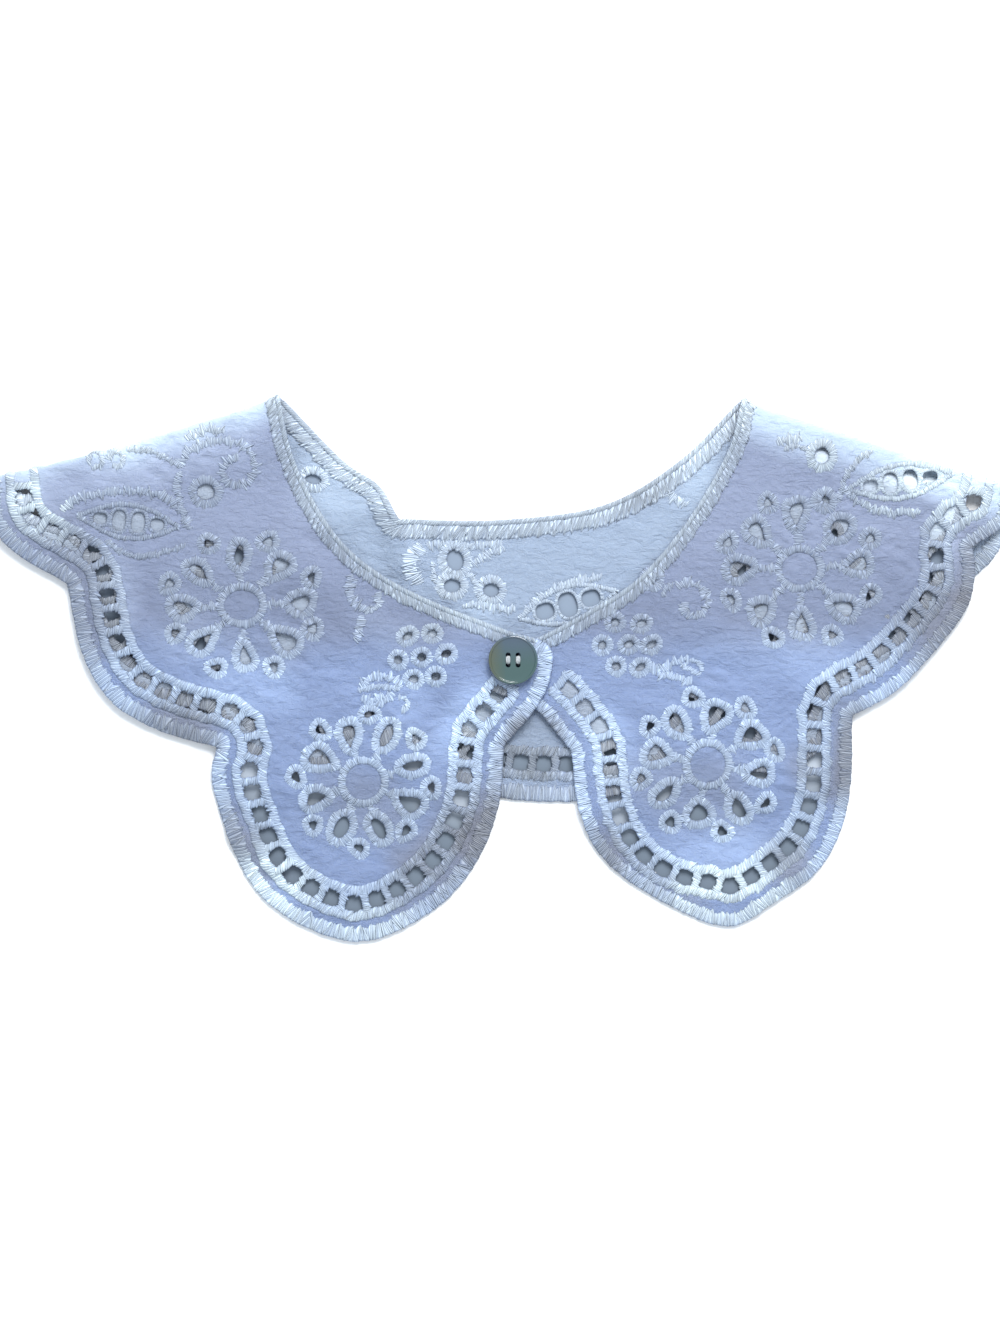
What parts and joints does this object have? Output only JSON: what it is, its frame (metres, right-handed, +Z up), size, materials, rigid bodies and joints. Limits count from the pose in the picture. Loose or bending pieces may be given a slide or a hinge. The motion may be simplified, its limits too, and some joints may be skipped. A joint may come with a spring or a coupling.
{
  "type": "lace collar",
  "caption": "Detachable collar of white eyelet cotton with scalloped satin-stitched edges, buttoned at the front and laid flat with its shoulders folded.",
  "frame": {"origin": "centre of the collar's box, on the surface that it lies on", "axes": "+X along the collar's width, towards the lower front; +Y from the scallops towards the shoulders and the neck; +Z up off the surface"},
  "size_m": [0.3087, 0.1642, 0.0081],
  "materials": {
    "cotton": "white cotton lawn with raised satin stitch, matt",
    "button_shell": "smoked shell, polished",
    "sewing_thread": "pale sewing thread"
  },
  "bodies": {
    "root": {"back": "cotton", "left_front": "cotton", "right_front": "cotton", "button": "button_shell", "button_thread": "sewing_thread"}
  },
  "joints": []
}
